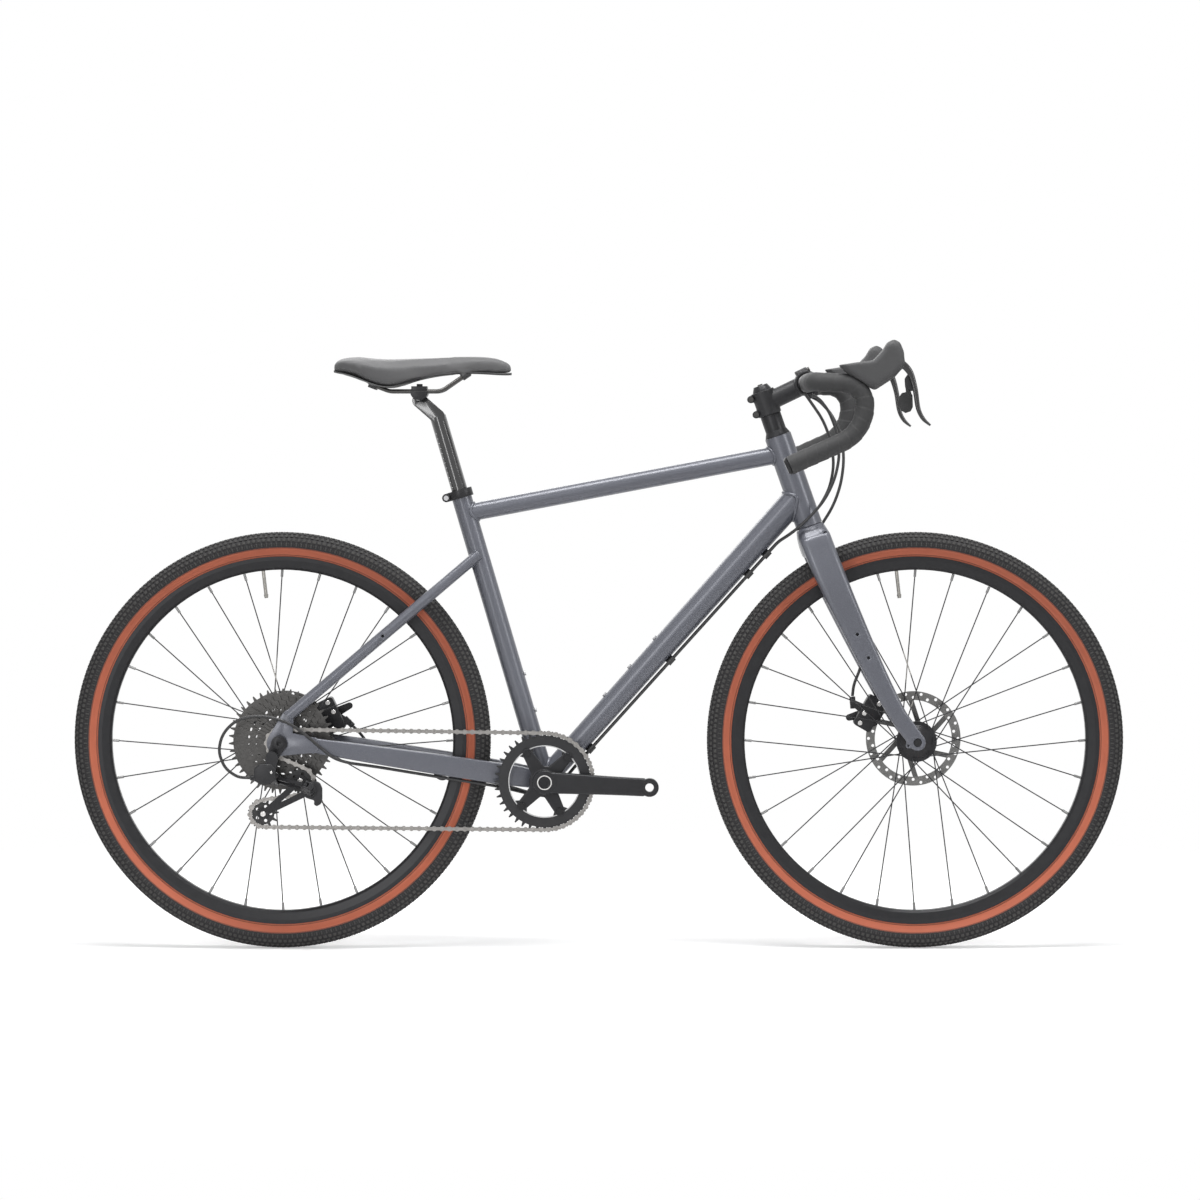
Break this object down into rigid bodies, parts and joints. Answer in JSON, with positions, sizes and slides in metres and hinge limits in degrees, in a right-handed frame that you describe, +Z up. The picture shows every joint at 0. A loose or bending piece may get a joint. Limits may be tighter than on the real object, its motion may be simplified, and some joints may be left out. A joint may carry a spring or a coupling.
{
  "type": "gravel bike",
  "caption": "Gravel bike with a dark grey frame, drop bar, single chainring, wide-range cassette, disc brakes and black tyres with terracotta sidewalls.",
  "frame": {"origin": "on the ground, midway between the two axles, on the bike's centre plane", "axes": "+X forward, +Y to the bike's left, +Z up"},
  "size_m": [1.7623, 0.464, 1.0173],
  "materials": {
    "frame_paint": "matte metallic dark blue-grey paint",
    "black_alloy": "satin black anodised",
    "black_steel": "black coated steel",
    "bright_steel": "bare bright steel",
    "tyre_rubber": "black tread with terracotta sidewalls",
    "hood_rubber": "matte black rubber",
    "bar_wrap": "matte black cork tape",
    "black_plastic": "matte black plastic",
    "cable_sheath": "smooth black housing",
    "saddle_cover": "matte black synthetic leather"
  },
  "bodies": {
    "frame": {"head_tube": "frame_paint", "top_tube": "frame_paint", "down_tube": "frame_paint", "seat_tube": "frame_paint", "bottom_bracket_shell": "frame_paint", "chain_stays": "frame_paint", "seat_stays": "frame_paint", "dropouts": "frame_paint", "derailleur_hanger": "black_alloy", "seat_collar": "black_alloy", "frame_fittings": "black_steel", "bearings": "black_alloy", "rear_axle": "bright_steel", "rear_caliper": "black_alloy", "frame_cables": "cable_sheath", "steering_cables": "cable_sheath", "chain": "bright_steel", "derailleur_body": "black_alloy"},
    "seatpost": {"seatpost": "black_alloy"},
    "saddle_cradle": {"saddle_clamp": "black_alloy"},
    "saddle": {"saddle_rails": "bright_steel", "saddle_base": "black_plastic", "saddle_pad": "saddle_cover"},
    "steering": {"fork": "frame_paint", "headset_spacers": "black_alloy", "stem": "black_alloy", "stem_bolts": "black_steel", "handlebar": "black_alloy", "bar_tape": "bar_wrap", "lever_hoods": "hood_rubber", "front_caliper": "black_alloy", "front_axle": "bright_steel", "front_brake_hose": "cable_sheath"},
    "right_lever": {"right_brake_lever": "black_alloy"},
    "left_lever": {"left_brake_lever": "black_alloy"},
    "paddle": {"shift_paddle": "black_plastic"},
    "front_brake_arm": {"front_caliper_arm": "bright_steel"},
    "rear_brake_arm": {"rear_caliper_arm": "bright_steel"},
    "front_wheel": {"front_tyre": "tyre_rubber", "front_rim": "black_alloy", "front_spokes": "black_steel", "front_hub": "black_alloy", "front_rotor": "bright_steel"},
    "rear_wheel": {"rear_tyre": "tyre_rubber", "rear_rim": "black_alloy", "rear_spokes": "black_steel", "rear_hub": "black_alloy", "rear_rotor": "bright_steel"},
    "cassette_stack": {"cassette": "black_steel"},
    "crankset": {"right_crank_arm": "black_alloy", "left_crank_arm": "black_alloy", "chainring": "black_alloy", "crank_bolts": "bright_steel"},
    "outer_link": {"derailleur_outer_link": "black_alloy"},
    "inner_link": {"derailleur_inner_link": "black_alloy"},
    "moving_knuckle": {"derailleur_knuckle": "black_alloy"},
    "cage": {"derailleur_cage": "black_alloy"},
    "upper_pulley": {"guide_pulley": "black_plastic"},
    "lower_pulley": {"tension_pulley": "black_plastic"}
  },
  "joints": [
    {"name": "steering", "type": "hinge", "parent": "frame", "child": "steering", "pos_m": [0.35292, 0, 0.71024], "axis": [-0.3322, 0, 0.9432], "range_deg": [-60, 60], "deforming": ["steering_cables"]},
    {"name": "front_wheel_spin", "type": "hinge", "parent": "steering", "child": "front_wheel", "pos_m": [0.5312, 0, 0.35], "axis": [0, 1, 0], "continuous": true},
    {"name": "rear_wheel_spin", "type": "hinge", "parent": "frame", "child": "rear_wheel", "pos_m": [-0.5312, 0, 0.35], "axis": [0, 1, 0], "continuous": true},
    {"name": "crank_spin", "type": "hinge", "parent": "frame", "child": "crankset", "pos_m": [-0.09051, 0, 0.284], "axis": [0, 1, 0], "continuous": true, "deforming": ["chain"]},
    {"name": "cassette_spin", "type": "hinge", "parent": "frame", "child": "cassette_stack", "pos_m": [-0.5312, 0, 0.35], "axis": [0, 1, 0], "continuous": true},
    {"name": "derailleur_shift", "type": "hinge", "parent": "frame", "child": "outer_link", "pos_m": [-0.5372, -0.07409, 0.29246], "axis": [0.4226, 0.4477, 0.788], "range_deg": [0, 41.5], "stiffness_Nm_per_rad": 0.3, "deforming": ["chain"]},
    {"name": "inner_link_swing", "type": "hinge", "parent": "frame", "child": "inner_link", "pos_m": [-0.5372, -0.06191, 0.28554], "axis": [0.4226, 0.4477, 0.788], "range_deg": [0, 41.5]},
    {"name": "knuckle_turn", "type": "hinge", "parent": "outer_link", "child": "moving_knuckle", "pos_m": [-0.48635, -0.10428, 0.28234], "axis": [0.4226, 0.4477, 0.788], "range_deg": [-41.5, 0]},
    {"name": "cage_swing", "type": "hinge", "parent": "moving_knuckle", "child": "cage", "pos_m": [-0.4807, -0.077, 0.2694], "axis": [0, 1, 0], "range_deg": [-85, 0]},
    {"name": "guide_pulley_spin", "type": "hinge", "parent": "cage", "child": "upper_pulley", "pos_m": [-0.49747, -0.064, 0.28656], "axis": [0, 1, 0], "continuous": true},
    {"name": "tension_pulley_spin", "type": "hinge", "parent": "cage", "child": "lower_pulley", "pos_m": [-0.55902, -0.064, 0.23188], "axis": [0, 1, 0], "continuous": true},
    {"name": "right_lever_pull", "type": "hinge", "parent": "steering", "child": "right_lever", "pos_m": [0.48557, -0.215, 0.97952], "axis": [0, 1, 0], "range_deg": [0, 20], "stiffness_Nm_per_rad": 1.5},
    {"name": "left_lever_pull", "type": "hinge", "parent": "steering", "child": "left_lever", "pos_m": [0.48557, 0.215, 0.97952], "axis": [0, 1, 0], "range_deg": [0, 20], "stiffness_Nm_per_rad": 1.5},
    {"name": "shift_paddle_push", "type": "hinge", "parent": "right_lever", "child": "paddle", "pos_m": [0.50117, -0.2065, 0.94952], "axis": [0.2169, 0, -0.9762], "range_deg": [0, 18], "stiffness_Nm_per_rad": 0.3},
    {"name": "front_arm_pull", "type": "hinge", "parent": "steering", "child": "front_brake_arm", "pos_m": [0.45672, 0.0584, 0.393], "axis": [0, 1, 0], "range_deg": [0, 15]},
    {"name": "rear_arm_pull", "type": "hinge", "parent": "frame", "child": "rear_brake_arm", "pos_m": [-0.4539, 0.0754, 0.3877], "axis": [0, 1, 0], "range_deg": [0, 15]},
    {"name": "seatpost_height", "type": "slide", "parent": "frame", "child": "seatpost", "axis": [-0.2823, 0, 0.9593], "range_m": [-0.1, 0.05]},
    {"name": "saddle_tilt", "type": "hinge", "parent": "seatpost", "child": "saddle_cradle", "pos_m": [-0.30019, 0, 0.93518], "axis": [0, 1, 0], "range_deg": [-10, 10]},
    {"name": "saddle_slide", "type": "slide", "parent": "saddle_cradle", "child": "saddle", "axis": [1, 0, 0], "range_m": [-0.012, 0.012]}
  ],
  "couplings": [
    {"joint": "cassette_spin", "follows": "crank_spin", "ratio": 3.6364},
    {"joint": "guide_pulley_spin", "follows": "crank_spin", "ratio": -3.6364},
    {"joint": "tension_pulley_spin", "follows": "crank_spin", "ratio": 3.6364},
    {"joint": "inner_link_swing", "follows": "derailleur_shift", "ratio": 1},
    {"joint": "knuckle_turn", "follows": "derailleur_shift", "ratio": -1},
    {"joint": "cage_swing", "follows": "derailleur_shift", "ratio": -2.0482},
    {"joint": "front_arm_pull", "follows": "left_lever_pull", "ratio": 0.75},
    {"joint": "rear_arm_pull", "follows": "right_lever_pull", "ratio": 0.75}
  ]
}
